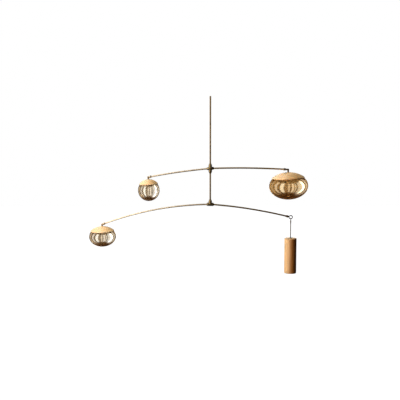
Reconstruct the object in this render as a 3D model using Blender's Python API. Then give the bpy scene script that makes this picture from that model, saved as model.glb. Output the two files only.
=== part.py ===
"""A hanging mobile: a plumb brass stem, two tiers of bowed arms, three wood-capped glass globes and a wooden weight.

Lengths are in metres and angles in degrees. The origin is the middle of the stem's cut top end, +Z is up,
and +X runs along the right-hand arms. All the arms lie in the plane Y = 0.
"""

import math

import bmesh
import bpy
from mathutils import Matrix, Vector

# Rod stock and fits
ROD_DIAMETER = 0.011
GAP = 0.0003
SOCKET_END_GAP = 0.0005

# Stem
UPPER_HUB_DROP = 0.499
HUB_SPACING = 0.2505
STEM_FOOT_DEPTH = 0.005

# Hubs: a barrel with a socket at each end for an arm, crossed by a short upright boss
HUB_WALL = 0.006
HUB_MOUTH_WALL = 0.0026
HUB_WEB = 0.004
ARM_SOCKET_DEPTH = 0.015
UPPER_HUB_TAPER = 0.014
LOWER_HUB_TAPER = 0.005
BOSS_WALL = 0.0055
BOSS_RISE = 0.0015

# Collars on the stem, which hold each hub in its place
COLLAR_HEIGHT = 0.021
COLLAR_RIM_HEIGHT = 0.007
COLLAR_WALL = 0.0065
COLLAR_TIP_WALL = 0.0014

# Arms: the drop is the slope at the hub, the bow is the radius of the bend, the length is along the rod
UPPER_LEFT_DROP = 5.2
UPPER_LEFT_BOW = 4.3
UPPER_LEFT_LENGTH = 0.4094
UPPER_RIGHT_DROP = -1.9
UPPER_RIGHT_BOW = 5.5
UPPER_RIGHT_LENGTH = 0.5029
LOWER_LEFT_DROP = 0.7
LOWER_LEFT_BOW = 2.17
LOWER_LEFT_LENGTH = 0.7465
LOWER_RIGHT_DROP = 4.4
LOWER_RIGHT_BOW = 3.3
LOWER_RIGHT_LENGTH = 0.5314

# Sleeves that join an arm to its elbow or ring
SLEEVE_LENGTH = 0.016
SLEEVE_TAPER = 0.005
RING_SLEEVE_LENGTH = 0.019
RING_SLEEVE_TAPER = 0.013
SLEEVE_WALL = 0.0022
SLEEVE_MOUTH_WALL = 0.0012

# Elbows: the neck is the rod that shows past the sleeve, the drop is the nipple that shows above the cap
ELBOW_DIAMETER = 0.012
ELBOW_PROUD = 0.001
ELBOW_EASE = 0.003
NIPPLE_SEAT = 0.014
SMALL_NECK = 0.0005
SMALL_NIPPLE_DROP = 0.0089
MEDIUM_NECK = 0.0005
MEDIUM_NIPPLE_DROP = 0.0069
LARGE_NECK = 0.012
LARGE_NIPPLE_DROP = 0.014

# Globes: the seam is where wood meets glass, measured up from the middle; the lean swings the foot to the right
SMALL_WIDTH = 0.150
SMALL_HEIGHT = 0.150
SMALL_SEAM = 0.0413
SMALL_LEAN = 2.0
MEDIUM_WIDTH = 0.187
MEDIUM_HEIGHT = 0.141
MEDIUM_SEAM = 0.0367
MEDIUM_LEAN = 1.5
LARGE_WIDTH = 0.271
LARGE_HEIGHT = 0.187
LARGE_SEAM = 0.0533
LARGE_LEAN = 2.4
GLASS_WALL = 0.003
LIP_HEIGHT = 0.003
LIP_STEP = 0.0015
GROOVE_CLEARANCE = 0.0005
CAP_OVERHANG = 0.002
CAP_RISE = 0.002
CAP_EDGE = 0.002
CAP_BAND = 0.003

# Ring at the end of the lower right arm
RING_DIAMETER = 0.0295
RING_WIRE = 0.006
RING_NECK = 0.003

# Hanger: an eye through the ring, a ferrule and a thin rod down into the weight
EYE_WIRE = 0.0035
EYE_PLAY = 0.001
FERRULE_NECK_DIAMETER = 0.005
FERRULE_DIAMETER = 0.0095
FERRULE_SHOULDER = 0.010
FERRULE_TAPER = 0.018
HANGER_DIAMETER = 0.006
HANGER_LENGTH = 0.137
HANGER_SEAT = 0.030
WASHER_DIAMETER = 0.018
WASHER_TOP_WALL = 0.0015
WASHER_HEIGHT = 0.004

# Weight
WEIGHT_DIAMETER = 0.085
WEIGHT_LENGTH = 0.246
WEIGHT_EDGE = 0.003

# Facets
ROD_SIDES = 12
FITTING_SIDES = 16
HUB_SIDES = 20
WIRE_SIDES = 8
RING_STEPS = 20
EYE_STEPS = 16
SMALL_SIDES = 24
MEDIUM_SIDES = 24
LARGE_SIDES = 28
WEIGHT_SIDES = 24
BOWL_STEPS = 6
SHOULDER_STEPS = 2
DOME_STEPS = 5
EDGE_STEPS = 2
ARM_BEND_STEP = 1.0
SHARP_ANGLE = 35

ROD_RADIUS = ROD_DIAMETER / 2
BORE_RADIUS = ROD_RADIUS + GAP
HUB_RADIUS = BORE_RADIUS + HUB_WALL
HUB_HALF_LENGTH = BORE_RADIUS + HUB_WEB + ARM_SOCKET_DEPTH
ARM_START = BORE_RADIUS + HUB_WEB + SOCKET_END_GAP
BOSS_HALF_HEIGHT = HUB_RADIUS + BOSS_RISE
ELBOW_RADIUS = ELBOW_DIAMETER / 2
RING_RADIUS = (RING_DIAMETER - RING_WIRE) / 2
EYE_RADIUS = RING_WIRE / 2 + EYE_PLAY + EYE_WIRE / 2
UPPER_HUB = Vector((0, 0, -UPPER_HUB_DROP))
LOWER_HUB = Vector((0, 0, -UPPER_HUB_DROP - HUB_SPACING))
LEFT = -1
RIGHT = 1

FINISHES = {
    "aged_brass": {"color": (0.36, 0.27, 0.15, 1), "metallic": 1.0, "roughness": 0.38, "transmission": 0.0},
    "oak": {"color": (0.62, 0.38, 0.18, 1), "metallic": 0.0, "roughness": 0.55, "transmission": 0.0},
    "amber_glass": {"color": (0.66, 0.45, 0.20, 1), "metallic": 0.0, "roughness": 0.04, "transmission": 1.0},
}


def clear_scene():
    for obj in list(bpy.data.objects):
        bpy.data.objects.remove(obj)


def finish(name):
    """The material of that name, made the first time that it is asked for."""
    material = bpy.data.materials.get(name)
    if material:
        return material
    values = FINISHES[name]
    material = bpy.data.materials.new(name)
    material.use_nodes = True
    shader = material.node_tree.nodes["Principled BSDF"]
    shader.inputs["Base Color"].default_value = values["color"]
    shader.inputs["Metallic"].default_value = values["metallic"]
    shader.inputs["Roughness"].default_value = values["roughness"]
    shader.inputs["Transmission Weight"].default_value = values["transmission"]
    material.diffuse_color = values["color"]
    return material


def pivot(name, at):
    """An empty on the axis that a group of pieces turns about."""
    empty = bpy.data.objects.new(name, None)
    empty.location = at
    bpy.context.scene.collection.objects.link(empty)
    return empty


def add_object(name, bm, group, at, turn=0.0, side=RIGHT, material="aged_brass"):
    """Makes the mesh an object at a place in the world, turned about Y and, on the left, faced about."""
    bmesh.ops.recalc_face_normals(bm, faces=bm.faces)
    mesh = bpy.data.meshes.new(name)
    bm.to_mesh(mesh)
    bm.free()
    mesh.shade_smooth()
    mesh.set_sharp_from_angle(angle=math.radians(SHARP_ANGLE))
    mesh.materials.append(finish(material))
    obj = bpy.data.objects.new(name, mesh)
    bpy.context.scene.collection.objects.link(obj)
    obj.parent = group
    obj.location = Vector(at) - group.location
    obj.rotation_euler = (0, math.radians(turn), math.pi if side == LEFT else 0)
    return obj


def combine(obj, tool, operation):
    """Joins a guide to the object, or cuts it away, with an exact Boolean."""
    tool.hide_render = True
    tool.display_type = "WIRE"
    modifier = obj.modifiers.new(tool.name, "BOOLEAN")
    modifier.operation = operation
    modifier.solver = "EXACT"
    modifier.object = tool


def turned(outline, sides, closed=False):
    """A mesh turned on Z from an outline of (radius, height) points: a ring if it is closed, else it ends on Z."""
    bm = bmesh.new()
    verts = [bm.verts.new((radius, 0, height)) for radius, height in outline]
    edges = [bm.edges.new(pair) for pair in zip(verts, verts[1:])]
    if closed:
        edges.append(bm.edges.new((verts[-1], verts[0])))
    bmesh.ops.spin(bm, geom=verts + edges, cent=(0, 0, 0), axis=(0, 0, 1), angle=2 * math.pi, steps=sides, use_merge=True)
    bmesh.ops.remove_doubles(bm, verts=bm.verts, dist=0.000001)
    return bm


def cylinder(radius, low, high, sides):
    return turned([(0, high), (radius, high), (radius, low), (0, low)], sides)


def torus(radius, wire_radius, steps):
    """A ring of wire around the local Y axis."""
    bm = bmesh.new()
    start = bmesh.ops.create_circle(bm, segments=WIRE_SIDES, radius=wire_radius)["verts"]
    bmesh.ops.translate(bm, verts=start, vec=(radius, 0, 0))
    geom = start + bm.edges[:]
    bmesh.ops.spin(bm, geom=geom, cent=(0, 0, 0), axis=(0, 1, 0), angle=2 * math.pi, steps=steps, use_merge=True)
    return bm


def ellipse_points(half_width, half_height, start, end, steps):
    """Points of an ellipse from one angle above the horizontal to another, both in radians."""
    angles = [start + (end - start) * i / steps for i in range(steps + 1)]
    return [(half_width * math.cos(a), half_height * math.sin(a)) for a in angles]


class Arm:
    """A bowed rod that starts in a hub's socket, seen in its own outward direction."""

    def __init__(self, hub, side, drop, bow, length):
        self.hub = hub
        self.side = side
        self.drop = math.radians(drop)
        self.bow = bow
        self.length = length
        self.start = self.along(hub, self.drop, ARM_START)
        self.end_drop = self.drop + length / bow
        rise = math.cos(self.end_drop) - math.cos(self.drop)
        reach = math.sin(self.end_drop) - math.sin(self.drop)
        self.end = self.start + bow * Vector((side * reach, 0, rise))

    def along(self, point, drop, distance):
        """The place that far outward from a point, at a slope below the horizontal."""
        return point + distance * Vector((self.side * math.cos(drop), 0, -math.sin(drop)))

    def past_end(self, distance):
        return self.along(self.end, self.end_drop, distance)

    def build(self, name, group):
        bm = bmesh.new()
        disc = bmesh.ops.create_circle(bm, cap_ends=True, segments=ROD_SIDES, radius=ROD_RADIUS)["verts"]
        bmesh.ops.rotate(bm, verts=disc, cent=(0, 0, 0), matrix=Matrix.Rotation(math.pi / 2, 3, "Y"))
        geom = bm.verts[:] + bm.edges[:] + bm.faces[:]
        bend = self.length / self.bow
        steps = max(4, round(math.degrees(bend) / ARM_BEND_STEP))
        bmesh.ops.spin(bm, geom=geom, cent=(0, 0, -self.bow), axis=(0, 1, 0), angle=bend, steps=steps)
        return add_object(name, bm, group, self.start, math.degrees(self.drop), self.side)


def build_stem(group):
    foot = LOWER_HUB.z - STEM_FOOT_DEPTH
    add_object("stem", cylinder(ROD_RADIUS, foot, 0, FITTING_SIDES), group, (0, 0, 0))


def build_hub(name, group, left, right, through, taper):
    """A barrel in line with its two arms, with a boss that the stem runs through or into."""
    tilt = math.degrees(left.drop - right.drop) / 2
    mouth_radius = BORE_RADIUS + HUB_MOUTH_WALL
    straight = HUB_HALF_LENGTH - taper
    outline = [
        (0, HUB_HALF_LENGTH),
        (mouth_radius, HUB_HALF_LENGTH),
        (HUB_RADIUS, straight),
        (HUB_RADIUS, -straight),
        (mouth_radius, -HUB_HALF_LENGTH),
        (0, -HUB_HALF_LENGTH),
    ]
    hub = add_object(name, turned(outline, HUB_SIDES), group, left.hub, 90 - tilt)
    boss_foot = -BOSS_HALF_HEIGHT if through else 0
    boss = cylinder(BORE_RADIUS + BOSS_WALL, boss_foot, BOSS_HALF_HEIGHT, HUB_SIDES)
    combine(hub, add_object(name + "_boss", boss, group, left.hub), "UNION")
    bore_foot = -2 * BOSS_HALF_HEIGHT if through else -STEM_FOOT_DEPTH - SOCKET_END_GAP
    bore = cylinder(BORE_RADIUS, bore_foot, 2 * BOSS_HALF_HEIGHT, FITTING_SIDES)
    combine(hub, add_object(name + "_stem_bore", bore, group, left.hub), "DIFFERENCE")
    for arm, word in ((left, "left"), (right, "right")):
        socket = cylinder(BORE_RADIUS, ARM_START - SOCKET_END_GAP, 2 * HUB_HALF_LENGTH, ROD_SIDES)
        turn = 90 + math.degrees(arm.drop)
        tool = add_object(f"{name}_{word}_socket", socket, group, left.hub, turn, arm.side)
        combine(hub, tool, "DIFFERENCE")


def build_collar(name, group, hub, above):
    """A collar on the stem, widest where it faces the hub."""
    base_radius = BORE_RADIUS + COLLAR_WALL
    base = BOSS_HALF_HEIGHT + GAP
    outline = [
        (BORE_RADIUS, base),
        (base_radius, base),
        (base_radius, base + COLLAR_RIM_HEIGHT),
        (BORE_RADIUS + COLLAR_TIP_WALL, base + COLLAR_HEIGHT),
        (BORE_RADIUS, base + COLLAR_HEIGHT),
    ]
    add_object(name, turned(outline, FITTING_SIDES, closed=True), group, hub, 0 if above else 180)


def build_sleeve(name, group, arm, far_radius, length, taper):
    """A sleeve half over the arm's end and half over the fitting past it, narrowed towards the hub."""
    near_bore = BORE_RADIUS
    far_bore = far_radius + GAP
    outer_radius = max(near_bore, far_bore) + SLEEVE_WALL
    outline = [
        (near_bore, -length / 2),
        (near_bore + SLEEVE_MOUTH_WALL, -length / 2),
        (outer_radius, taper - length / 2),
        (outer_radius, length / 2),
        (far_bore, length / 2),
        (far_bore, 0),
        (near_bore, 0),
    ]
    middle = arm.past_end(SOCKET_END_GAP / 2)
    turn = 90 + math.degrees(arm.end_drop)
    bm = turned(outline, ROD_SIDES, closed=True)
    bmesh.ops.dissolve_degenerate(bm, dist=0.000001, edges=bm.edges)
    add_object(name, bm, group, middle, turn, arm.side)
    return middle


class Globe:
    """A wood cap over a glass bowl, hung from an arm's elbow and leaning a little."""

    def __init__(self, name, arm, width, height, seam, lean, neck, nipple_drop, sides):
        self.name = name
        self.arm = arm
        self.half_width = width / 2
        self.half_height = height / 2
        self.seam = seam
        self.lean = lean
        self.sides = sides
        self.leg = SLEEVE_LENGTH / 2 + neck + ELBOW_RADIUS
        self.top_drop = ELBOW_RADIUS + nipple_drop
        self.corner = arm.past_end(SOCKET_END_GAP / 2 + self.leg)
        down = Vector((math.sin(math.radians(lean)), 0, -math.cos(math.radians(lean))))
        self.middle = self.corner + (self.top_drop + CAP_RISE + self.half_height) * down
        self.seam_radius = self.half_width * math.sqrt(1 - (seam / self.half_height) ** 2)
        self.lip_outer = self.seam_radius - LIP_STEP
        self.lip_inner = self.lip_outer - GLASS_WALL

    def build(self, group):
        self.build_elbow(group)
        self.build_cap(group)
        self.build_glass(group)

    def build_elbow(self, group):
        """A bar in line with the arm, a little proud of the nipple that drops from its end."""
        name = self.name + "_elbow"
        turn = 90 + math.degrees(self.arm.end_drop)
        end = ELBOW_RADIUS + ELBOW_PROUD
        start = SOCKET_END_GAP / 2 - self.leg
        outline = [(0, end), (ELBOW_RADIUS - ELBOW_EASE, end), (ELBOW_RADIUS, end - ELBOW_EASE)]
        outline += [(ELBOW_RADIUS, start), (0, start)]
        elbow = add_object(name, turned(outline, ROD_SIDES), group, self.corner, turn, self.arm.side)
        foot = -self.top_drop - NIPPLE_SEAT + SOCKET_END_GAP
        nipple = cylinder(ELBOW_RADIUS, foot, 0, ROD_SIDES)
        combine(elbow, add_object(name + "_nipple", nipple, group, self.corner, -self.lean), "UNION")

    def build_cap(self, group):
        """The dome meets an upright band at the rim, and a groove in the underside takes the glass's lip."""
        underside = self.seam + GAP
        edge = underside + CAP_EDGE
        shoulder = edge + CAP_BAND
        rim_radius = self.seam_radius + CAP_OVERHANG
        bore = ELBOW_RADIUS + GAP
        dome_height = self.half_height + CAP_RISE
        dome_half_width = rim_radius / math.sqrt(1 - (shoulder / dome_height) ** 2)
        dome_end = math.acos(bore / dome_half_width)
        dome_start = math.asin(shoulder / dome_height)
        dome = ellipse_points(dome_half_width, dome_height, dome_end, dome_start, DOME_STEPS)
        rounding = ellipse_points(CAP_EDGE, CAP_EDGE, 0, -math.pi / 2, EDGE_STEPS)
        rim = [(rim_radius - CAP_EDGE + x, edge + z) for x, z in rounding]
        groove_top = self.seam + LIP_HEIGHT + GROOVE_CLEARANCE
        seat = dome[0][1] - NIPPLE_SEAT
        outline = [(0, seat), (bore, seat)] + dome + rim
        outline += [
            (self.lip_outer + GROOVE_CLEARANCE, underside),
            (self.lip_outer + GROOVE_CLEARANCE, groove_top),
            (self.lip_inner - GROOVE_CLEARANCE, groove_top),
            (self.lip_inner - GROOVE_CLEARANCE, underside),
            (0, underside),
        ]
        bm = turned(outline, self.sides)
        add_object(self.name + "_cap", bm, group, self.middle, -self.lean, material="oak")

    def bowl(self, inset):
        """Points of the bowl from its foot, by its widest place, to the seam."""
        half_width = self.half_width - inset
        half_height = self.half_height - inset
        end = math.asin((self.seam - inset) / half_height)
        lower = ellipse_points(half_width, half_height, -math.pi / 2, 0, BOWL_STEPS)
        return lower + ellipse_points(half_width, half_height, 0, end, SHOULDER_STEPS)[1:]

    def build_glass(self, group):
        """A bowl with an upright lip, open at the top under the cap."""
        outer = self.bowl(0)
        inner = self.bowl(GLASS_WALL)
        inner.reverse()
        lip = [
            (self.lip_outer, self.seam),
            (self.lip_outer, self.seam + LIP_HEIGHT),
            (self.lip_inner, self.seam + LIP_HEIGHT),
            (self.lip_inner, self.seam),
        ]
        bm = turned(outer + lip + inner, self.sides)
        add_object(self.name + "_glass", bm, group, self.middle, -self.lean, material="amber_glass")


def build_ring(group, arm):
    """A ring in the plane of the arms on a short shank, and the place of its lowest wire."""
    leg = RING_SLEEVE_LENGTH / 2 + RING_NECK + RING_DIAMETER / 2
    centre = arm.past_end(SOCKET_END_GAP / 2 + leg)
    ring = add_object("end_ring", torus(RING_RADIUS, RING_WIRE / 2, RING_STEPS), group, centre)
    shank = cylinder(ROD_RADIUS, SOCKET_END_GAP / 2 - leg, RING_WIRE / 4 - RING_DIAMETER / 2, ROD_SIDES)
    turn = 90 + math.degrees(arm.end_drop)
    combine(ring, add_object("end_ring_shank", shank, group, centre, turn), "UNION")
    return centre - Vector((0, 0, RING_RADIUS))


def build_hanger(group):
    """An eye around the ring's lowest wire, set square to the ring, with its rod straight down."""
    eye_centre = group.location - Vector((0, 0, EYE_PLAY - GAP))
    eye_foot = EYE_RADIUS + EYE_WIRE / 2
    rod_radius = HANGER_DIAMETER / 2
    foot = HANGER_LENGTH - (EYE_PLAY - GAP) + HANGER_SEAT - SOCKET_END_GAP
    outline = [
        (0, -EYE_RADIUS),
        (FERRULE_NECK_DIAMETER / 2, -EYE_RADIUS),
        (FERRULE_NECK_DIAMETER / 2, -eye_foot),
        (FERRULE_DIAMETER / 2, -eye_foot - FERRULE_SHOULDER),
        (rod_radius, -eye_foot - FERRULE_SHOULDER - FERRULE_TAPER),
        (rod_radius, -foot),
        (0, -foot),
    ]
    hanger = add_object("weight_hanger", turned(outline, ROD_SIDES), group, eye_centre)
    eye = torus(EYE_RADIUS, EYE_WIRE / 2, EYE_STEPS)
    bmesh.ops.rotate(eye, verts=eye.verts, cent=(0, 0, 0), matrix=Matrix.Rotation(math.pi / 2, 3, "Z"))
    combine(hanger, add_object("weight_hanger_eye", eye, group, eye_centre), "UNION")


def build_weight(group):
    """A turned wooden cylinder with eased edges, and a coned washer where the rod goes in."""
    bore = HANGER_DIAMETER / 2 + GAP
    top = group.location - Vector((0, 0, HANGER_LENGTH))
    radius = WEIGHT_DIAMETER / 2
    rounding = ellipse_points(WEIGHT_EDGE, WEIGHT_EDGE, math.pi / 2, 0, EDGE_STEPS)
    upper_edge = [(radius - WEIGHT_EDGE + x, z - WEIGHT_EDGE) for x, z in rounding]
    lower_edge = [(x, -WEIGHT_LENGTH - z) for x, z in reversed(upper_edge)]
    outline = [(0, -HANGER_SEAT), (bore, -HANGER_SEAT), (bore, 0)]
    outline += upper_edge + lower_edge + [(0, -WEIGHT_LENGTH)]
    add_object("counterweight", turned(outline, WEIGHT_SIDES), group, top, material="oak")
    washer = [
        (bore, GAP),
        (WASHER_DIAMETER / 2, GAP),
        (bore + WASHER_TOP_WALL, GAP + WASHER_HEIGHT),
        (bore, GAP + WASHER_HEIGHT),
    ]
    add_object("weight_washer", turned(washer, ROD_SIDES, closed=True), group, top)


def build_upper_tier(group):
    left = Arm(UPPER_HUB, LEFT, UPPER_LEFT_DROP, UPPER_LEFT_BOW, UPPER_LEFT_LENGTH)
    right = Arm(UPPER_HUB, RIGHT, UPPER_RIGHT_DROP, UPPER_RIGHT_BOW, UPPER_RIGHT_LENGTH)
    build_hub("upper_hub", group, left, right, True, UPPER_HUB_TAPER)
    left.build("upper_left_arm", group)
    right.build("upper_right_arm", group)
    small = Globe(
        "small_globe", left, SMALL_WIDTH, SMALL_HEIGHT, SMALL_SEAM, SMALL_LEAN, SMALL_NECK, SMALL_NIPPLE_DROP, SMALL_SIDES
    )
    large = Globe(
        "large_globe", right, LARGE_WIDTH, LARGE_HEIGHT, LARGE_SEAM, LARGE_LEAN, LARGE_NECK, LARGE_NIPPLE_DROP, LARGE_SIDES
    )
    for globe in (small, large):
        build_sleeve(globe.name + "_sleeve", group, globe.arm, ELBOW_RADIUS, SLEEVE_LENGTH, SLEEVE_TAPER)
        globe.build(group)


def build_lower_tier(group):
    """The lower arms with the medium globe and the ring, and the place that the weight hangs from."""
    left = Arm(LOWER_HUB, LEFT, LOWER_LEFT_DROP, LOWER_LEFT_BOW, LOWER_LEFT_LENGTH)
    right = Arm(LOWER_HUB, RIGHT, LOWER_RIGHT_DROP, LOWER_RIGHT_BOW, LOWER_RIGHT_LENGTH)
    build_hub("lower_hub", group, left, right, False, LOWER_HUB_TAPER)
    left.build("lower_left_arm", group)
    right.build("lower_right_arm", group)
    medium = Globe(
        "medium_globe", left, MEDIUM_WIDTH, MEDIUM_HEIGHT, MEDIUM_SEAM, MEDIUM_LEAN, MEDIUM_NECK, MEDIUM_NIPPLE_DROP,
        MEDIUM_SIDES,
    )
    build_sleeve("medium_globe_sleeve", group, left, ELBOW_RADIUS, SLEEVE_LENGTH, SLEEVE_TAPER)
    medium.build(group)
    build_sleeve("ring_sleeve", group, right, ROD_RADIUS, RING_SLEEVE_LENGTH, RING_SLEEVE_TAPER)
    return build_ring(group, right)


def main():
    clear_scene()
    fixed = pivot("stem_frame", (0, 0, 0))
    build_stem(fixed)
    build_collar("upper_hub_top_collar", fixed, UPPER_HUB, True)
    build_collar("upper_hub_bottom_collar", fixed, UPPER_HUB, False)
    build_collar("lower_hub_collar", fixed, LOWER_HUB, True)
    build_upper_tier(pivot("upper_swivel_axis", UPPER_HUB))
    hanging_point = build_lower_tier(pivot("lower_swivel_axis", LOWER_HUB))
    swing = pivot("weight_swing_axis", hanging_point)
    build_hanger(swing)
    build_weight(swing)


main()
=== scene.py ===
"""The looks of a hanging mobile: brass rods, wood-capped amber glass globes and a turned oak weight.

Lengths are in metres and angles in degrees. The origin is the middle of the stem's cut top end, +Z is up,
and +X runs along the right-hand arms. All the arms lie in the plane Y = 0.
"""

import math

import bmesh
import bpy
from mathutils import Matrix, Vector


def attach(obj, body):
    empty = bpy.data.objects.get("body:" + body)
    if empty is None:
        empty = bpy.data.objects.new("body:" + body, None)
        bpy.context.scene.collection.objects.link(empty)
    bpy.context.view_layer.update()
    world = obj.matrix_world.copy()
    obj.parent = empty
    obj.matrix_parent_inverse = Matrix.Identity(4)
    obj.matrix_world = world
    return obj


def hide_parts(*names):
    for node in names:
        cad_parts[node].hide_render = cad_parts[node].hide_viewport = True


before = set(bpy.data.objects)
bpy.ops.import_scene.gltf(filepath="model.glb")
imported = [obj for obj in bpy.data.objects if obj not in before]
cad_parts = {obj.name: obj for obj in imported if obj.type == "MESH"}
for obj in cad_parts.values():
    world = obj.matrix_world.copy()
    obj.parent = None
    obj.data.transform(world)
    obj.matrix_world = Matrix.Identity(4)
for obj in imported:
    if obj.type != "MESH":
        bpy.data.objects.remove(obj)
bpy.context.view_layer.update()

# What the lights fall on: all but the glass, and all but the glass and the right-hand wood
brass_and_wood = bpy.data.collections.new("brass and wood")
strip_side = bpy.data.collections.new("brass and left-hand wood")
RIGHT_HAND_WOOD = ("large_globe_cap", "counterweight")

LEFT = -1
RIGHT = 1

# Sizes, as in the part's source
ROD_RADIUS = 0.0055
GAP = 0.0003
SOCKET_END_GAP = 0.0005
BORE_RADIUS = ROD_RADIUS + GAP
HUB_SPACING = 0.2505
UPPER_HUB = Vector((0, 0, -0.499))
LOWER_HUB = UPPER_HUB - Vector((0, 0, HUB_SPACING))
STEM_FOOT_DEPTH = 0.005
HUB_RADIUS = BORE_RADIUS + 0.006
HUB_MOUTH_RADIUS = BORE_RADIUS + 0.0026
HUB_HALF_LENGTH = BORE_RADIUS + 0.019
UPPER_HUB_TAPER = 0.014
LOWER_HUB_TAPER = 0.005
ARM_START = BORE_RADIUS + 0.0045
BOSS_RADIUS = BORE_RADIUS + 0.0055
BOSS_HALF_HEIGHT = HUB_RADIUS + 0.0015
COLLAR_HEIGHT = 0.021
COLLAR_RIM_HEIGHT = 0.007
COLLAR_RADIUS = BORE_RADIUS + 0.0065
COLLAR_TIP_RADIUS = BORE_RADIUS + 0.0014
SLEEVE_LENGTH = 0.016
SLEEVE_TAPER = 0.005
RING_SLEEVE_LENGTH = 0.019
RING_SLEEVE_TAPER = 0.013
SLEEVE_WALL = 0.0022
SLEEVE_MOUTH_WALL = 0.0012
ELBOW_RADIUS = 0.006
ELBOW_PROUD = 0.001
ELBOW_EASE = 0.003
NIPPLE_SEAT = 0.014
GLASS_WALL = 0.003
LIP_HEIGHT = 0.003
LIP_STEP = 0.0015
GROOVE_CLEARANCE = 0.0005
CAP_OVERHANG = 0.002
CAP_RISE = 0.002
CAP_EDGE = 0.002
CAP_BAND = 0.003
RING_DIAMETER = 0.0295
RING_WIRE = 0.006
RING_RADIUS = (RING_DIAMETER - RING_WIRE) / 2
RING_NECK = 0.003
EYE_WIRE = 0.0035
EYE_PLAY = 0.001
EYE_RADIUS = RING_WIRE / 2 + EYE_PLAY + EYE_WIRE / 2
FERRULE_NECK_RADIUS = 0.0025
FERRULE_RADIUS = 0.00475
FERRULE_SHOULDER = 0.010
FERRULE_TAPER = 0.018
HANGER_RADIUS = 0.003
HANGER_LENGTH = 0.137
HANGER_SEAT = 0.030
WASHER_RADIUS = 0.009
WASHER_TOP_WALL = 0.0015
WASHER_HEIGHT = 0.004
WEIGHT_RADIUS = 0.0425
WEIGHT_LENGTH = 0.246
WEIGHT_EDGE = 0.003

# Keeps the round globes inside the faceted solids' box
SKIN = 0.0001

# Widths of the eased edges, and the distance below which points are one
THIN_EASE = 0.0003
EASE = 0.0004
HUB_EASE = 0.0005
BAR_EASE = 0.0006
WELD = 0.000001

# Fineness of the meshes
ROD_SIDES = 32
FITTING_SIDES = 48
TURNED_SIDES = 96
WIRE_SIDES = 20
RING_STEPS = 72
DOME_STEPS = 22
BOWL_FOOT_STEPS = 30
BOWL_SHOULDER_STEPS = 10
EDGE_STEPS = 6
ARM_BEND_STEP = 0.4
SHARP_ANGLE = 32

# Brass: its colours, the fineness of its patina, its relief, and the fineness of its draw marks by axis
BRASS = (0.30, 0.24, 0.15)
BRIGHT_BRASS = (0.50, 0.365, 0.195)
DULL_BRASS = (0.36, 0.25, 0.125)
WORN_BRASS = (0.25, 0.165, 0.08)
BRASS_CLOUDS = 45.0
BRASS_SPOTS = 320.0
BRASS_RELIEF = 0.00001
FITTING_GRAIN = (260, 260, 260)
ARM_GRAIN = (7, 900, 900)
STEM_GRAIN = (900, 900, 7)
HANGER_GRAIN = (900, 900, 20)

# The tone and warmth of each brass piece: 1 is the left arms' own brightness and hue, and less is browner.
# Less is partly the bronze's own colour and partly painted shade: the pieces on the right, away from the
# lights on the left, and the stem, hubs and collars are darkened and browned all over for the shade on them
BRASS_TONES_AND_SHADE = {
    "stem": (0.31, 0.85),
    "upper_hub_top_collar": (0.25, 0.88),
    "upper_hub_bottom_collar": (0.25, 0.88),
    "lower_hub_collar": (0.25, 0.88),
    "upper_hub": (0.27, 0.88),
    "upper_left_arm": (1.0, 1.0),
    "upper_right_arm": (0.85, 0.80),
    "small_globe_sleeve": (0.8, 1.0),
    "small_globe_elbow": (0.5, 1.0),
    "large_globe_sleeve": (0.3, 1.0),
    "large_globe_elbow": (0.2, 1.0),
    "lower_hub": (0.27, 0.88),
    "lower_left_arm": (1.0, 1.0),
    "lower_right_arm": (0.68, 0.80),
    "medium_globe_sleeve": (0.8, 1.0),
    "medium_globe_elbow": (0.5, 1.0),
    "ring_sleeve": (0.3, 1.0),
    "end_ring": (0.12, 1.0),
    "weight_hanger": (0.10, 0.8),
    "weight_washer": (0.2, 1.0),
}

# Oak: its colours, its relief, its growth rings, and the fineness of each pattern by axis, grain first
OAK = (0.62, 0.38, 0.17)
EARLY_WOOD = (0.78, 0.545, 0.255)
LATE_WOOD = (0.60, 0.375, 0.15)
FIBRES = (0.54, 0.33, 0.125)
STREAKS = (0.50, 0.29, 0.11)
PORES = (0.34, 0.19, 0.075)
PALE_WOOD = (0.87, 0.67, 0.36)
OAK_RELIEF = 0.00003
RING_SPACING = 0.0042
RING_WANDER = 0.010
WANDER_SCALES = (6, 22, 22)
FIBRE_SCALES = (14, 620, 620)
PORE_SCALES = (55, 1500, 1500)
DRIFT_SCALES = (5, 45, 45)
STREAK_SCALES = (9, 150, 150)

# How the grain lies in the weight and in the caps, which also lean, and where the pith is beside it
WEIGHT_GRAIN_TURN = (0, 90, 20)
WEIGHT_PITH = (0.018, 0.034)
CAP_GRAIN_ROLL = 4
CAP_GRAIN_SWING = 7
CAP_PITH = (0.013, 0.052)

# Glass: its colours, the brown of the cap's painted shade, its bending of light, the ribs around it, the
# fineness of its clouds and swirl by axis, and its relief as a share of its half width
PALE_AMBER = (0.97, 0.94, 0.88)
DEEP_AMBER = (0.95, 0.80, 0.54)
CLOUD_SHARES = (0.94, 0.90, 0.82)
PAINTED_CAP_SHADE = (0.52, 0.33, 0.14)
BROWN_FOOT = (0.34, 0.17, 0.05)
GLASS_INDEX = 1.5
GLASS_RIBS = 26.0
GLASS_CLOUD_SCALES = (16, 16, 5)
GLASS_SWIRL_SCALES = (22, 22, 9)
GLASS_RELIEF = 0.002

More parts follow.
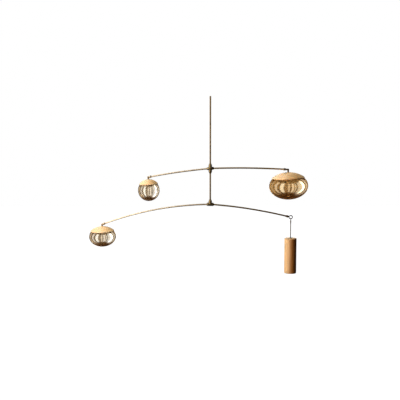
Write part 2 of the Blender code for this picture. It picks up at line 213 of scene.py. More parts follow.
# The room that only the glass mirrors: colours by azimuth, with dark posts between the windows, and the
# rise of a ray, as the sine of its elevation, where the walls start and end
POST = (0.02, 0.012, 0.006)
ROOM = (
    (-138, POST),
    (-129, (0.17, 0.13, 0.09)),
    (-120, (0.17, 0.13, 0.09)),
    (-111, POST),
    (-101, POST),
    (-94, (0.25, 0.23, 0.21)),
    (-81, (0.25, 0.23, 0.21)),
    (-73, POST),
    (-63, POST),
    (-54, (0.40, 0.39, 0.36)),
    (-39, (0.40, 0.39, 0.36)),
    (-31, (0.05, 0.035, 0.02)),
    (-12, (0.06, 0.04, 0.025)),
    (-7, (0.25, 0.22, 0.18)),
    (3, (0.22, 0.19, 0.15)),
    (7, POST),
    (12, POST),
    (16, (0.36, 0.33, 0.30)),
    (24, (0.32, 0.29, 0.25)),
    (34, (0.04, 0.03, 0.02)),
    (39, (0.38, 0.37, 0.34)),
    (43, POST),
    (48, POST),
    (54, (0.25, 0.245, 0.235)),
    (80, (0.32, 0.315, 0.305)),
    (86, (1.0, 1.0, 0.98)),
    (101, (1.0, 1.0, 0.98)),
    (106, POST),
    (113, POST),
    (118, (0.22, 0.215, 0.205)),
    (131, (0.22, 0.215, 0.205)),
    (138, POST),
)
WALL_FOOT = (-0.96, -0.72)
WALL_TOP = (0.62, 0.80)
ROOM_STRENGTH = 4.5
ROOM_FLOOR = (0.018, 0.009, 0.003)
ROOM_CEILING = (0.035, 0.025, 0.014)
BEYOND_DARK = (0.006, 0.003, 0.001)
BEYOND_GLOW = (0.42, 0.36, 0.27)

# The glow that only the brass and the wood's sheen mirror; the band above leans from the zenith to -X
WARM_SHINE = (1.0, 0.88, 0.74)
COOL_SHINE = (0.88, 1.0, 1.30)
BAND_START = (4, 11)
BAND_END = (38, 52)
GLOW_ABOVE = 2.8
GLOW_LEFT = 3.8
GLOW_BEHIND = 0.7
GLOW_AROUND = 0.022

# Stage and camera
LIT_MIDDLE = Vector((-0.05, 0, -0.65))
LIT_CAPS = Vector((-0.2, 0, -0.7))
LIT_MEDIUM_GLOBE = Vector((-0.74, 0, -0.8))
FLOOR_HEIGHT = -2.6
FLOOR_REACH = 14
CAMERA_PLACE = (-0.0713, -6.75, 0.1094)
CAMERA_PITCH = 83
CAMERA_LENS = 88
CAMERA_SENSOR = 36


# ---------------------------------------------------------------- shader maths


class Field:
    """A socket that takes part in Python expressions; each operator adds its Math node."""

    def __init__(self, shading, socket):
        self.shading = shading
        self.socket = socket

    def __add__(self, other):
        return self.shading.math("ADD", self, other)

    def __sub__(self, other):
        return self.shading.math("SUBTRACT", self, other)

    def __rsub__(self, other):
        return self.shading.math("SUBTRACT", other, self)

    def __mul__(self, other):
        return self.shading.math("MULTIPLY", self, other)

    def __truediv__(self, other):
        return self.shading.math("DIVIDE", self, other)

    __radd__ = __add__
    __rmul__ = __mul__


class Shading:
    """Makes the nodes of one node tree."""

    def __init__(self, tree):
        self.tree = tree

    def node(self, kind, settings, sockets):
        """A node with its settings, a ramp's stops among them, and then its sockets' values or links."""
        made = self.tree.nodes.new("ShaderNode" + kind)
        stops = settings.pop("stops", [])
        for setting, value in settings.items():
            setattr(made, setting, value)
        if stops:
            ramp = made.color_ramp
            while len(ramp.elements) < len(stops):
                ramp.elements.new(1)
            for element, (place, colour) in zip(ramp.elements, stops):
                element.position = place
                element.color = (*colour, 1)
        for key, value in sockets.items():
            self.feed(made.inputs[key], value)
        return made

    def feed(self, socket, value):
        if isinstance(value, Field):
            self.tree.links.new(value.socket, socket)
        elif isinstance(value, tuple) and len(value) == 3 and socket.type == "RGBA":
            socket.default_value = (*value, 1)
        else:
            socket.default_value = value

    def out(self, node, output=0):
        return Field(self, node.outputs[output])

    def math(self, operation, first, second=0.0):
        return self.out(self.node("Math", {"operation": operation}, {0: first, 1: second}))

    def vector(self, operation, first, second=(0, 0, 0), output=0):
        made = self.node("VectorMath", {"operation": operation}, {0: first, 1: second})
        return self.out(made, output)

    def step(self, value, low, high):
        """0 below the low value, 1 above the high one, and smooth between them."""
        settings = {"interpolation_type": "SMOOTHSTEP"}
        return self.out(self.node("MapRange", settings, {0: value, 1: low, 2: high}))

    def mix(self, share, first, second):
        return self.out(self.node("Mix", {"data_type": "RGBA"}, {0: share, 6: first, 7: second}), 2)

    def place(self, centre, turn=(0, 0, 0)):
        """Object coordinates seen from a centre and turned."""
        coordinates = self.out(self.node("TexCoord", {}, {}), "Object")
        angles = tuple(math.radians(angle) for angle in turn)
        sockets = {0: coordinates, 1: tuple(centre), 2: angles}
        return self.out(self.node("Mapping", {"vector_type": "TEXTURE"}, sockets))

    def noise(self, where, scale, detail, roughness):
        sockets = {"Vector": where, "Scale": scale, "Detail": detail, "Roughness": roughness}
        return self.out(self.node("TexNoise", {}, sockets))

    def stretched_noise(self, where, scales, detail, roughness):
        """Noise with a scale of its own along each axis."""
        return self.noise(self.vector("MULTIPLY", where, scales), 1.0, detail, roughness)

    def axes(self, where):
        split = self.node("SeparateXYZ", {}, {0: where})
        return [self.out(split, i) for i in range(3)]

    def ramp(self, value, stops):
        return self.out(self.node("ValToRGB", {"stops": stops}, {0: value}))

    def glow(self, towards, far, near):
        """In a world: 1 within the near angle of a direction, and 0 past the far one."""
        where = self.out(self.node("TexCoord", {}, {}), "Generated")
        facing = self.vector("DOT_PRODUCT", where, tuple(towards), 1)
        return self.step(facing, math.cos(math.radians(far)), math.cos(math.radians(near)))


class Finish(Shading):
    """A material and the nodes that feed its shader."""

    def __init__(self, name, colour, constants):
        self.material = bpy.data.materials.new(name)
        self.material.use_nodes = True
        self.material.diffuse_color = (*colour, 1)
        super().__init__(self.material.node_tree)
        self.shader = self.tree.nodes["Principled BSDF"]
        self.set("Base Color", colour)
        for socket, value in constants.items():
            self.set(socket, value)

    def set(self, socket, value):
        self.feed(self.shader.inputs[socket], value)

    def bump(self, height, distance):
        """Relief on the surface; the distance is the height of a value of 1."""
        sockets = {"Strength": 1.0, "Distance": distance, "Height": height}
        self.set("Normal", self.out(self.node("Bump", {}, sockets)))


def shaded(colour, shares):
    """A colour with its red, green and blue each cut to a share."""
    return tuple(value * share for value, share in zip(colour, shares))


def aged_brass(name, centre, grain, tone_and_shade, warmth_and_shade):
    """Brass that has dulled to bronze, darkened further by painted shade on some pieces: cloudy patina, draw
    marks along the grain and a little rub.
    """
    brass = Finish(name, BRASS, {"Metallic": 0.9})
    where = brass.place(centre)
    clouds = brass.noise(where, BRASS_CLOUDS, 4.0, 0.6)
    spots = brass.noise(where, BRASS_SPOTS, 3.0, 0.6)
    marks = brass.stretched_noise(where, grain, 2.0, 0.5)
    dull = brass.step(clouds * 0.7 + spots * 0.3, 0.40, 0.62)
    rub = brass.step(marks, 0.55, 0.75) * 0.35
    # Painted shade: a tone and warmth below 1 darken and brown the whole piece, partly for its own bronze
    # and partly for the shade it stands in
    hue_and_shade = (tone_and_shade, tone_and_shade * (1 + warmth_and_shade) / 2, tone_and_shade * warmth_and_shade**3)
    colour = brass.mix(dull, shaded(BRIGHT_BRASS, hue_and_shade), shaded(DULL_BRASS, hue_and_shade))
    brass.set("Base Color", brass.mix(rub, colour, shaded(WORN_BRASS, hue_and_shade)))
    brass.set("Roughness", 0.25 + dull * 0.08 + marks * 0.06)
    brass.bump(marks * 0.5 + spots * 0.5, BRASS_RELIEF)
    return brass.material


def oak(name, centre, turn, pith):
    """Oiled oak: growth rings about the tree's own pith, fine fibres, streaks and dark pores.

    The grain runs along the turned X axis. The pith lies beside the centre, at minus those two distances
    along the turned Y and Z axes.
    """
    sheen = {"Specular IOR Level": 0.28, "Coat Weight": 0.07, "Coat Roughness": 0.35}
    wood = Finish(name, OAK, sheen)
    where = wood.place(centre, turn)
    _, across, up = wood.axes(where)
    wander = wood.stretched_noise(where, WANDER_SCALES, 3.0, 0.5)
    fibres = wood.stretched_noise(where, FIBRE_SCALES, 4.0, 0.65)
    pores = wood.stretched_noise(where, PORE_SCALES, 2.0, 0.5)
    drift = wood.stretched_noise(where, DRIFT_SCALES, 2.0, 0.5)
    streaks = wood.stretched_noise(where, STREAK_SCALES, 3.0, 0.6)
    from_pith = wood.node("CombineXYZ", {}, {0: 0.0, 1: across + pith[0], 2: up + pith[1]})
    far = wood.vector("LENGTH", wood.out(from_pith), output=1)
    rings = wood.math("FRACT", (far + wander * RING_WANDER) / RING_SPACING)
    late = wood.step(rings, 0.45, 0.95) * (1 - wood.step(rings, 0.96, 1.0))
    open_pores = wood.step(pores, 0.60, 0.72) * (1 - late * 0.7)
    colour = wood.mix(late * 0.6, EARLY_WOOD, LATE_WOOD)
    colour = wood.mix(wood.step(fibres, 0.35, 0.75) * 0.5, colour, FIBRES)
    colour = wood.mix(wood.step(streaks, 0.50, 0.72) * 0.45, colour, STREAKS)
    colour = wood.mix(open_pores * 0.5, colour, PORES)
    colour = wood.mix(wood.step(drift, 0.38, 0.66) * 0.42, colour, PALE_WOOD)
    wood.set("Base Color", colour)
    wood.set("Roughness", 0.46 + fibres * 0.12 + open_pores * 0.15)
    wood.bump(fibres * 0.5 - open_pores * 0.8 + late * 0.25, OAK_RELIEF)
    return wood.material


def amber_glass(globe):
    """Amber glass with a mirror lustre, browner at the foot, with the cap's shade painted brown just below
    it, and hardly wavy.
    """
    clear = {"Metallic": globe.lustre, "Roughness": 0.0, "Transmission Weight": 1.0, "IOR": GLASS_INDEX}
    glass = Finish(globe.name + "_amber", globe.tint, clear)
    where = glass.place(globe.middle, (0, -globe.lean, 0))
    x, y, z = glass.axes(where)
    height = z / globe.half_height
    foot = 1 - glass.step(height, -0.96, globe.foot_start)
    # Painted shade: the top of the glass, just below the cap, is browned for the cap's shadow
    painted_cap_shade = glass.step(height, 0.30, 0.56) * 0.7
    clouds = glass.stretched_noise(where, GLASS_CLOUD_SCALES, 2.0, 0.5)
    swirl = glass.stretched_noise(where, GLASS_SWIRL_SCALES, 2.0, 0.5)
    colour = glass.mix(glass.step(clouds, 0.3, 0.7), globe.tint, shaded(globe.tint, CLOUD_SHARES))
    colour = glass.mix(painted_cap_shade, colour, PAINTED_CAP_SHADE)
    glass.set("Base Color", glass.mix(foot, colour, BROWN_FOOT))
    ribs = glass.math("SINE", glass.math("ARCTAN2", y, x) * GLASS_RIBS)
    glass.bump(ribs * 0.05 + swirl, globe.half_width * GLASS_RELIEF)
    return glass.material


# ------------------------------------------------------------------- modelling


def placed(bm, at, turn=0.0, side=RIGHT):
    """Turns the mesh about Y, faces it about on the left, and moves it to its place."""
    facing = Matrix.Rotation(math.pi if side == LEFT else 0, 4, "Z")
    turned_about = facing @ Matrix.Rotation(math.radians(turn), 4, "Y")
    bmesh.ops.transform(bm, matrix=Matrix.Translation(at) @ turned_about, verts=bm.verts)
    return bm


def weld(bm):
    bmesh.ops.remove_doubles(bm, verts=bm.verts, dist=WELD)


def drop_slivers(bm):
    bmesh.ops.dissolve_degenerate(bm, dist=WELD, edges=bm.edges)


def spin_round(bm, geom, axis, steps):
    """Sweeps the geometry once around an axis through the origin."""
    bmesh.ops.spin(
        bm, geom=geom, cent=(0, 0, 0), axis=axis, angle=2 * math.pi, steps=steps, use_merge=True
    )


def turned(outline, sides, closed=False):
    """A mesh turned on Z from an outline of (radius, height) points: a ring if closed, else it ends on Z."""
    bm = bmesh.new()
    verts = [bm.verts.new((radius, 0, height)) for radius, height in outline]
    edges = [bm.edges.new(pair) for pair in zip(verts, verts[1:])]
    if closed:
        edges.append(bm.edges.new((verts[-1], verts[0])))
    spin_round(bm, verts + edges, (0, 0, 1), sides)
    weld(bm)
    drop_slivers(bm)
    bmesh.ops.recalc_face_normals(bm, faces=bm.faces)
    return bm


def eased(bm, width, segments=2):
    """Takes the sharpness off a turned piece's corners."""
    sharp = math.radians(SHARP_ANGLE)
    bmesh.ops.bevel(
        bm,
        geom=[edge for edge in bm.edges if edge.is_manifold and edge.calc_face_angle() > sharp],
        offset=width,
        segments=segments,
        profile=0.5,
        material=-1,
        affect="EDGES",
        clamp_overlap=True,
    )
    drop_slivers(bm)
    return bm


def cylinder(radius, low, high, sides):
    return turned([(0, high), (radius, high), (radius, low), (0, low)], sides)


def torus(radius, wire_radius):
    """A ring of wire around the local Y axis."""
    bm = bmesh.new()
    start = bmesh.ops.create_circle(bm, segments=WIRE_SIDES, radius=wire_radius)["verts"]
    bmesh.ops.translate(bm, verts=start, vec=(radius, 0, 0))
    spin_round(bm, start + bm.edges[:], (0, 1, 0), RING_STEPS)
    bmesh.ops.recalc_face_normals(bm, faces=bm.faces)
    return bm


def ellipse_points(half_width, half_height, start, end, steps):
    """Points of an ellipse from one angle above the horizontal to another, both in radians."""
    angles = [start + (end - start) * i / steps for i in range(steps + 1)]
    return [(half_width * math.cos(a), half_height * math.sin(a)) for a in angles]


def mesh_of(name, bm):
    mesh = bpy.data.meshes.new(name)
    bm.to_mesh(mesh)
    bm.free()
    return mesh


def in_scene(name, data):
    obj = bpy.data.objects.new(name, data)
    bpy.context.scene.collection.objects.link(obj)
    return obj


def combined(bm, tools):
    """The mesh with each tool joined to it or cut from it, in turn, by an exact Boolean."""
    for tool, operation in tools:
        work = in_scene("work", mesh_of("work", bm))
        helper = in_scene("tool", mesh_of("tool", tool))
        modifier = work.modifiers.new("tool", "BOOLEAN")
        modifier.operation = operation
        modifier.solver = "EXACT"
        modifier.object = helper
        bm = bmesh.new()
        bm.from_mesh(work.evaluated_get(bpy.context.evaluated_depsgraph_get()).to_mesh())
        weld(bm)
        for obj in (work, helper):
            mesh = obj.data
            bpy.data.objects.remove(obj)
            bpy.data.meshes.remove(mesh)
    drop_slivers(bm)
    return bm


def present(node, bm, body, slot, material):
    """Makes the finished piece of that node: it takes the node's place and rides on its body."""
    mesh = mesh_of(node + "_fine", bm)
    mesh.shade_smooth()
    mesh.set_sharp_from_angle(angle=math.radians(SHARP_ANGLE))
    mesh.materials.append(material)
    obj = in_scene(node + "_fine", mesh)
    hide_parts(node)
    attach(obj, body)
    if slot != "amber_glass":
        brass_and_wood.objects.link(obj)
        if node not in RIGHT_HAND_WOOD:
            strip_side.objects.link(obj)


def present_brass(node, bm, body, centre, grain=FITTING_GRAIN):
    tone_and_shade, warmth_and_shade = BRASS_TONES_AND_SHADE[node]
    material = aged_brass(node + "_brass", centre, grain, tone_and_shade, warmth_and_shade)
    present(node, bm, body, "aged_brass", material)


class Arm:
    """A bowed rod that starts in a hub's socket, seen in its own outward direction.

    The drop is its slope where it starts, and the bow is the radius that it bends to.
    """

    def __init__(self, hub, side, drop, bow, length):
        self.hub = hub
        self.side = side
        self.drop = math.radians(drop)
        self.bow = bow
        self.length = length
        self.start = self.along(hub, self.drop, ARM_START)
        self.end_drop = self.drop + length / bow
        rise = math.cos(self.end_drop) - math.cos(self.drop)
        reach = math.sin(self.end_drop) - math.sin(self.drop)
        self.end = self.start + bow * Vector((side * reach, 0, rise))

    def along(self, point, drop, distance):
        """The place that far outward from a point, at a slope below the horizontal."""
        return point + distance * Vector((self.side * math.cos(drop), 0, -math.sin(drop)))

    def past_end(self, distance):
        return self.along(self.end, self.end_drop, distance)

    def end_turn(self):
        return 90 + math.degrees(self.end_drop)

    def build(self, node, body):
        bm = bmesh.new()
        disc = bmesh.ops.create_circle(bm, cap_ends=True, segments=ROD_SIDES, radius=ROD_RADIUS)["verts"]
        bmesh.ops.rotate(bm, verts=disc, cent=(0, 0, 0), matrix=Matrix.Rotation(math.pi / 2, 3, "Y"))
        geom = bm.verts[:] + bm.edges[:] + bm.faces[:]
        bend = self.length / self.bow
        steps = round(math.degrees(bend) / ARM_BEND_STEP)
        bmesh.ops.spin(bm, geom=geom, cent=(0, 0, -self.bow), axis=(0, 1, 0), angle=bend, steps=steps)
        bmesh.ops.recalc_face_normals(bm, faces=bm.faces)
        placed(bm, self.start, math.degrees(self.drop), self.side)
        present_brass(node, bm, body, self.start, ARM_GRAIN)


def build_stem():
    bm = eased(cylinder(ROD_RADIUS, LOWER_HUB.z - STEM_FOOT_DEPTH, 0, ROD_SIDES), EASE)
    present_brass("stem", bm, "stem", (0, 0, 0), STEM_GRAIN)


def build_hub(node, body, left, right, through, taper):
    """A barrel in line with its two arms, with a boss that the stem runs through or into."""
    tilt = math.degrees(left.drop - right.drop) / 2
    straight = HUB_HALF_LENGTH - taper
    outline = [
        (0, HUB_HALF_LENGTH),
        (HUB_MOUTH_RADIUS, HUB_HALF_LENGTH),
        (HUB_RADIUS, straight),
        (HUB_RADIUS, -straight),
        (HUB_MOUTH_RADIUS, -HUB_HALF_LENGTH),
        (0, -HUB_HALF_LENGTH),
    ]
    hub = placed(eased(turned(outline, FITTING_SIDES), HUB_EASE), left.hub, 90 - tilt)
    boss_foot = -BOSS_HALF_HEIGHT if through else -HUB_RADIUS / 2
    boss = cylinder(BOSS_RADIUS, boss_foot, BOSS_HALF_HEIGHT, FITTING_SIDES)
    bore_foot = -2 * BOSS_HALF_HEIGHT if through else -STEM_FOOT_DEPTH - SOCKET_END_GAP
    bore = cylinder(BORE_RADIUS, bore_foot, 2 * BOSS_HALF_HEIGHT, ROD_SIDES)
    tools = [(placed(eased(boss, HUB_EASE), left.hub), "UNION"), (placed(bore, left.hub), "DIFFERENCE")]
    for arm in (left, right):
        socket = cylinder(BORE_RADIUS, ARM_START - SOCKET_END_GAP, 2 * HUB_HALF_LENGTH, ROD_SIDES)
        tools.append((placed(socket, left.hub, 90 + math.degrees(arm.drop), arm.side), "DIFFERENCE"))
    present_brass(node, combined(hub, tools), body, left.hub)


def build_collar(node, hub, above):
    """A collar on the stem, widest where it faces the hub."""
    base = BOSS_HALF_HEIGHT + GAP
    outline = [
        (BORE_RADIUS, base),
        (COLLAR_RADIUS, base),
        (COLLAR_RADIUS, base + COLLAR_RIM_HEIGHT),
        (COLLAR_TIP_RADIUS, base + COLLAR_HEIGHT),
        (BORE_RADIUS, base + COLLAR_HEIGHT),
    ]
    bm = eased(turned(outline, FITTING_SIDES, closed=True), EASE)
    present_brass(node, placed(bm, hub, 0 if above else 180), "stem", hub)


def build_sleeve(node, body, arm, far_radius=ELBOW_RADIUS, length=SLEEVE_LENGTH, taper=SLEEVE_TAPER):
    """A sleeve half over the arm's end and half over the fitting past it, narrowed towards the hub."""
    far_bore = far_radius + GAP
    outer_radius = max(BORE_RADIUS, far_bore) + SLEEVE_WALL
    outline = [
        (BORE_RADIUS, -length / 2),
        (BORE_RADIUS + SLEEVE_MOUTH_WALL, -length / 2),
        (outer_radius, taper - length / 2),
        (outer_radius, length / 2),
        (far_bore, length / 2),
    ]
    if far_bore != BORE_RADIUS:
        outline += [(far_bore, 0), (BORE_RADIUS, 0)]
    bm = eased(turned(outline, FITTING_SIDES, closed=True), THIN_EASE)
    middle = arm.past_end(SOCKET_END_GAP / 2)
    present_brass(node, placed(bm, middle, arm.end_turn(), arm.side), body, middle)


class Globe:
    """A wood cap over a glass bowl, hung from an arm's elbow and leaning a little.

    The seam is the cap's height above the globe's middle. The lustre is the glass's share of mirror, and
    the foot's brown starts at a share of the half height.
    """

    def __init__(
        self, name, body, arm, width, height, seam, lean, neck, nipple_drop, tint, lustre, foot_start
    ):
        self.name = name
        self.body = body
        self.arm = arm
        self.half_width = width / 2
        self.half_height = height / 2
        self.seam = seam
        self.lean = lean
        self.tint = tint
        self.lustre = lustre
        self.foot_start = foot_start
        self.leg = SLEEVE_LENGTH / 2 + neck + ELBOW_RADIUS
        self.top_drop = ELBOW_RADIUS + nipple_drop
        self.corner = arm.past_end(SOCKET_END_GAP / 2 + self.leg)
        down = Vector((math.sin(math.radians(lean)), 0, -math.cos(math.radians(lean))))
        self.middle = self.corner + (self.top_drop + CAP_RISE + self.half_height) * down
        self.seam_radius = self.half_width * math.sqrt(1 - (seam / self.half_height) ** 2)
        self.lip_outer = self.seam_radius - LIP_STEP
        self.lip_inner = self.lip_outer - GLASS_WALL

    def build_elbow(self):
        """A bar in line with the arm, a little proud of the nipple that drops from its end."""
        end = ELBOW_RADIUS + ELBOW_PROUD
        start = SOCKET_END_GAP / 2 - self.leg
        outline = [(0, end), (ELBOW_RADIUS - ELBOW_EASE, end), (ELBOW_RADIUS, end - ELBOW_EASE)]
        outline += [(ELBOW_RADIUS, start), (0, start)]
        bar = eased(turned(outline, FITTING_SIDES), BAR_EASE, 3)
        placed(bar, self.corner, self.arm.end_turn(), self.arm.side)
        foot = -self.top_drop - NIPPLE_SEAT + SOCKET_END_GAP
        nipple = placed(cylinder(ELBOW_RADIUS, foot, 0, FITTING_SIDES), self.corner, -self.lean)
        present_brass(self.name + "_elbow", combined(bar, [(nipple, "UNION")]), self.body, self.corner)

    def build_cap(self):
        """The dome meets an upright band at the rim, and a groove in the underside takes the glass's lip."""
        underside = self.seam + GAP
        edge = underside + CAP_EDGE
        shoulder = edge + CAP_BAND
        rim_radius = self.seam_radius + CAP_OVERHANG
        bore = ELBOW_RADIUS + GAP
        dome_height = self.half_height + CAP_RISE
        dome_half_width = rim_radius / math.sqrt(1 - (shoulder / dome_height) ** 2)
        dome_end = math.acos(bore / dome_half_width)
        dome_start = math.asin(shoulder / dome_height)
        dome = ellipse_points(dome_half_width, dome_height, dome_end, dome_start, DOME_STEPS)
        rounding = ellipse_points(CAP_EDGE, CAP_EDGE, 0, -math.pi / 2, EDGE_STEPS)
        rim = [(rim_radius - CAP_EDGE + x, edge + z) for x, z in rounding]
        groove_top = self.seam + LIP_HEIGHT + GROOVE_CLEARANCE
        seat = dome[0][1] - NIPPLE_SEAT
        outline = [(0, seat), (bore, seat)] + dome + rim
        outline += [
            (self.lip_outer + GROOVE_CLEARANCE, underside),
            (self.lip_outer + GROOVE_CLEARANCE, groove_top),
            (self.lip_inner - GROOVE_CLEARANCE, groove_top),
            (self.lip_inner - GROOVE_CLEARANCE, underside),
            (0, underside),
        ]
        bm = placed(turned(outline, TURNED_SIDES), self.middle, -self.lean)
        grain_turn = (CAP_GRAIN_ROLL, -self.lean, CAP_GRAIN_SWING)
        pith = (CAP_PITH[0], CAP_PITH[1] - self.half_height)
        material = oak(self.name + "_oak", self.middle, grain_turn, pith)
        present(self.name + "_cap", bm, self.body, "oak", material)

    def bowl(self, inset):
        """Points of the bowl from its foot, by its widest place, to the seam."""
        half_width = self.half_width - inset
        half_height = self.half_height - inset
        end = math.asin((self.seam - max(0, inset - SKIN)) / half_height)
        lower = ellipse_points(half_width, half_height, -math.pi / 2, 0, BOWL_FOOT_STEPS)
        return lower + ellipse_points(half_width, half_height, 0, end, BOWL_SHOULDER_STEPS)[1:]

    def build_glass(self):
        """A bowl with an upright lip, open at the top under the cap."""
        lip = [
            (self.lip_outer, self.seam),
            (self.lip_outer, self.seam + LIP_HEIGHT),
            (self.lip_inner, self.seam + LIP_HEIGHT),
            (self.lip_inner, self.seam),
        ]
        outline = self.bowl(SKIN) + lip + self.bowl(GLASS_WALL)[::-1]
        bm = placed(turned(outline, TURNED_SIDES), self.middle, -self.lean)
        present(self.name + "_glass", bm, self.body, "amber_glass", amber_glass(self))

    def build(self):
        build_sleeve(self.name + "_sleeve", self.body, self.arm)
        self.build_elbow()
        self.build_cap()
        self.build_glass()


def build_ring(arm):
    """A ring in the plane of the arms on a short shank, and the place of its lowest wire."""
    leg = RING_SLEEVE_LENGTH / 2 + RING_NECK + RING_DIAMETER / 2
    centre = arm.past_end(SOCKET_END_GAP / 2 + leg)
    ring = placed(torus(RING_RADIUS, RING_WIRE / 2), centre)
    shank_start = SOCKET_END_GAP / 2 - leg
    shank_end = RING_WIRE / 4 - RING_DIAMETER / 2
    shank = eased(cylinder(ROD_RADIUS, shank_start, shank_end, FITTING_SIDES), BAR_EASE)
    placed(shank, centre, arm.end_turn())
    present_brass("end_ring", combined(ring, [(shank, "UNION")]), "lower_tier", centre)
    return centre - Vector((0, 0, RING_RADIUS))


def build_hanger(hanging_point):
    """An eye around the ring's lowest wire, set square to the ring, with its rod straight down."""
    eye_centre = hanging_point - Vector((0, 0, EYE_PLAY - GAP))
    eye_foot = EYE_RADIUS + EYE_WIRE / 2
    foot = HANGER_LENGTH - (EYE_PLAY - GAP) + HANGER_SEAT - SOCKET_END_GAP
    outline = [
        (0, -EYE_RADIUS),
        (FERRULE_NECK_RADIUS, -EYE_RADIUS),
        (FERRULE_NECK_RADIUS, -eye_foot),
        (FERRULE_RADIUS, -eye_foot - FERRULE_SHOULDER),
        (HANGER_RADIUS, -eye_foot - FERRULE_SHOULDER - FERRULE_TAPER),
        (HANGER_RADIUS, -foot),
        (0, -foot),
    ]
    rod = placed(turned(outline, ROD_SIDES), eye_centre)
    eye = torus(EYE_RADIUS, EYE_WIRE / 2)
    quarter = Matrix.Rotation(math.pi / 2, 3, "Z")
    bmesh.ops.rotate(eye, verts=eye.verts, cent=(0, 0, 0), matrix=quarter)
    placed(eye, eye_centre)
    hanger = combined(rod, [(eye, "UNION")])
    present_brass("weight_hanger", hanger, "weight", eye_centre, HANGER_GRAIN)


def build_weight(hanging_point):
    """A turned wooden cylinder with eased edges, and a coned washer where the rod goes in."""
    bore = HANGER_RADIUS + GAP
    top = hanging_point - Vector((0, 0, HANGER_LENGTH))
    rounding = ellipse_points(WEIGHT_EDGE, WEIGHT_EDGE, math.pi / 2, 0, EDGE_STEPS)
    upper_edge = [(WEIGHT_RADIUS - WEIGHT_EDGE + x, z - WEIGHT_EDGE) for x, z in rounding]
    lower_edge = [(x, -WEIGHT_LENGTH - z) for x, z in reversed(upper_edge)]
    outline = [(0, -HANGER_SEAT), (bore, -HANGER_SEAT), (bore, 0)]
    outline += upper_edge + lower_edge + [(0, -WEIGHT_LENGTH)]
    middle = top - Vector((0, 0, WEIGHT_LENGTH / 2))
    material = oak("weight_oak", middle, WEIGHT_GRAIN_TURN, WEIGHT_PITH)
    present("counterweight", placed(turned(outline, TURNED_SIDES), top), "weight", "oak", material)
    washer = [
        (bore, GAP),
        (WASHER_RADIUS, GAP),
        (bore + WASHER_TOP_WALL, GAP + WASHER_HEIGHT),
        (bore, GAP + WASHER_HEIGHT),
    ]
    bm = eased(turned(washer, FITTING_SIDES, closed=True), THIN_EASE)
    present_brass("weight_washer", placed(bm, top), "weight", top)


def build_upper_tier():
    left = Arm(UPPER_HUB, LEFT, drop=5.2, bow=4.3, length=0.4094)
    right = Arm(UPPER_HUB, RIGHT, drop=-1.9, bow=5.5, length=0.5029)
    build_hub("upper_hub", "upper_tier", left, right, True, UPPER_HUB_TAPER)
    left.build("upper_left_arm", "upper_tier")
    right.build("upper_right_arm", "upper_tier")
    Globe(
        "small_globe",
        "upper_tier",
        left,
        width=0.150,
        height=0.150,
        seam=0.0413,
        lean=2.0,
        neck=0.0005,
        nipple_drop=0.0089,
        tint=PALE_AMBER,
        lustre=0.5,
        foot_start=-0.42,
    ).build()
    Globe(
        "large_globe",
        "upper_tier",
        right,
        width=0.271,
        height=0.187,
        seam=0.0533,
        lean=2.4,
        neck=0.012,
        nipple_drop=0.014,
        tint=DEEP_AMBER,
        lustre=0.42,
        foot_start=-0.12,
    ).build()


def build_lower_tier():
    """The lower arms with the medium globe and the ring, and the place that the weight hangs from."""
    left = Arm(LOWER_HUB, LEFT, drop=0.7, bow=2.17, length=0.7465)
    right = Arm(LOWER_HUB, RIGHT, drop=4.4, bow=3.3, length=0.5314)
    build_hub("lower_hub", "lower_tier", left, right, False, LOWER_HUB_TAPER)
    left.build("lower_left_arm", "lower_tier")
    right.build("lower_right_arm", "lower_tier")
    Globe(
        "medium_globe",
        "lower_tier",
        left,
        width=0.187,
        height=0.141,
        seam=0.0367,
        lean=1.5,
        neck=0.0005,
        nipple_drop=0.0069,
        tint=PALE_AMBER,
        lustre=0.5,
        foot_start=-0.42,
    ).build()
    build_sleeve("ring_sleeve", "lower_tier", right, ROD_RADIUS, RING_SLEEVE_LENGTH, RING_SLEEVE_TAPER)
    return build_ring(right)


# ------------------------------------------------------- stage, light and camera


def direction(azimuth, elevation):
    """The way out from the mobile: azimuth 0 is the camera's side and positive is to the right."""
    turn, rise = math.radians(azimuth), math.radians(elevation)
    return Vector((math.sin(turn) * math.cos(rise), -math.cos(turn) * math.cos(rise), math.sin(rise)))


def softbox(name, aim, azimuth, elevation, distance, size, power, colour, lit=brass_and_wood, shines=False):
    """A soft light that faces its aim. It may shine in the brass too, but the glass never mirrors it."""
    away = direction(azimuth, elevation)
    light = bpy.data.lights.new(name, "AREA")
    light.shape = "RECTANGLE"
    light.size, light.size_y = size
    light.energy = power
    light.color = colour
    obj = in_scene(name, light)
    obj.location = aim + distance * away
    obj.rotation_euler = (-away).to_track_quat("-Z", "Y").to_euler()
    obj.visible_camera = False
    obj.visible_glossy = shines
    obj.visible_transmission = False
    obj.light_linking.receiver_collection = lit


def build_lights():
    """Each line gives the aim, azimuth, elevation, distance, width and height, watts and colour."""
    softbox("key", LIT_MIDDLE, -82, 10, 9.0, (3.2, 5.1), 610, (0.74, 0.98, 1.32))
    softbox("warm", LIT_MIDDLE, -50, 5, 7.0, (2.0, 3.3), 320, (1.0, 0.46, 0.12))
    softbox("fill", LIT_MIDDLE, 80, 0, 5.0, (3.0, 3.0), 6, (1.0, 0.38, 0.09))
    softbox("back", LIT_MIDDLE, 166, 5, 5.0, (2.6, 2.6), 80, (1.0, 0.72, 0.44))
    softbox("overhead", LIT_CAPS, -84, 66, 4.5, (2.1, 2.1), 170, (1.0, 0.87, 0.68))
    near = ("near strip", LIT_MEDIUM_GLOBE, 0, 0, 1.1, (0.6, 1.8), 13, (0.84, 0.96, 1.22))
    softbox(*near, lit=strip_side, shines=True)


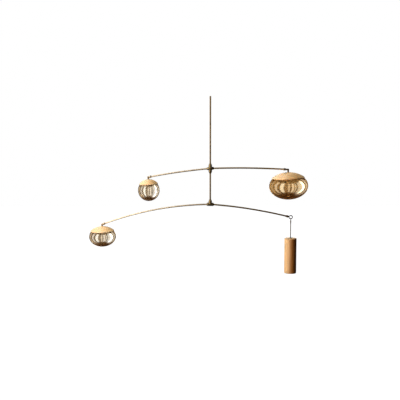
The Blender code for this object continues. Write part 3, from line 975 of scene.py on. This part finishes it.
def mirrored_room(room, x, y, z, path):
    """For the glass: windows and posts all round, a dark floor and ceiling, and a pale glow behind it."""
    turn = room.math("ARCTAN2", x, 0 - y) / (2 * math.pi) + 0.5
    walls = room.ramp(turn, [(azimuth / 360 + 0.5, colour) for azimuth, colour in ROOM])
    wall_share = room.step(z, *WALL_FOOT) * (1 - room.step(z, *WALL_TOP))
    floor_and_ceiling = room.mix(room.step(z, -0.2, 0.2), ROOM_FLOOR, ROOM_CEILING)
    mirrored = room.mix(wall_share, floor_and_ceiling, walls)
    beyond = room.mix(room.glow(direction(180, -7), far=50, near=20), BEYOND_DARK, BEYOND_GLOW)
    colour = room.mix(room.out(path, "Is Transmission Ray"), mirrored, beyond)
    return room.out(room.node("Background", {}, {"Color": colour, "Strength": ROOM_STRENGTH}))


def satin_glow(room, x, z):
    """For the brass and the wood's sheen: a cool band above on the left, and glows left and behind."""
    lean = room.math("ARCTAN2", 0 - x, z)
    band_start = room.step(lean, *map(math.radians, BAND_START))
    band_end = room.step(lean, *map(math.radians, BAND_END))
    above = band_start * (1 - band_end) * room.step(z, 0.15, 0.45)
    left = room.glow(direction(-66, 5), far=56, near=24)
    behind = room.glow(direction(172, 8), far=58, near=24)
    colour = room.mix(above, WARM_SHINE, COOL_SHINE)
    strength = above * GLOW_ABOVE + left * GLOW_LEFT + behind * GLOW_BEHIND + GLOW_AROUND
    return room.out(room.node("Background", {}, {"Color": colour, "Strength": strength}))


def build_world():
    """White to the camera, a room to the polished glass, and a soft glow to the rest's shine.

    It gives no diffuse light, which is left to the softboxes.
    """
    world = bpy.data.worlds.new("studio")
    bpy.context.scene.world = world
    world.use_nodes = True
    world.cycles_visibility.diffuse = False
    room = Shading(world.node_tree)
    x, y, z = room.axes(room.out(room.node("TexCoord", {}, {}), "Generated"))
    path = room.node("LightPath", {}, {})
    polished = mirrored_room(room, x, y, z, path)
    satin = satin_glow(room, x, z)
    white = room.out(room.node("Background", {}, {"Color": (1.0, 1.0, 1.0), "Strength": 1.0}))
    seen = satin
    for ray, background in (("Is Singular Ray", polished), ("Is Camera Ray", white)):
        seen = room.out(room.node("MixShader", {}, {0: room.out(path, ray), 1: seen, 2: background}))
    room.feed(room.tree.nodes["World Output"].inputs["Surface"], seen)


def build_floor():
    """A plain pale floor, well below the mobile."""
    bm = bmesh.new()
    bmesh.ops.create_grid(bm, x_segments=4, y_segments=4, size=FLOOR_REACH)
    bmesh.ops.translate(bm, verts=bm.verts, vec=(0, 0, FLOOR_HEIGHT))
    floor = in_scene("floor", mesh_of("floor", bm))
    even_white = {"Roughness": 0.9, "Emission Color": (1, 1, 1, 1), "Emission Strength": 1.0}
    floor.data.materials.append(Finish("pale_floor", (0.9, 0.9, 0.9), even_white).material)
    floor.visible_diffuse = False
    floor.visible_glossy = False
    floor.visible_transmission = False


def build_camera():
    camera = bpy.data.cameras.new("camera")
    camera.lens = CAMERA_LENS
    camera.sensor_width = CAMERA_SENSOR
    obj = in_scene("camera", camera)
    obj.location = CAMERA_PLACE
    obj.rotation_euler = (math.radians(CAMERA_PITCH), 0, 0)
    bpy.context.scene.camera = obj


def main():
    build_camera()
    build_stem()
    build_collar("upper_hub_top_collar", UPPER_HUB, True)
    build_collar("upper_hub_bottom_collar", UPPER_HUB, False)
    build_collar("lower_hub_collar", LOWER_HUB, True)
    build_upper_tier()
    hanging_point = build_lower_tier()
    build_hanger(hanging_point)
    build_weight(hanging_point)
    build_lights()
    build_world()
    build_floor()
    bpy.context.scene.view_settings.view_transform = "Standard"


main()
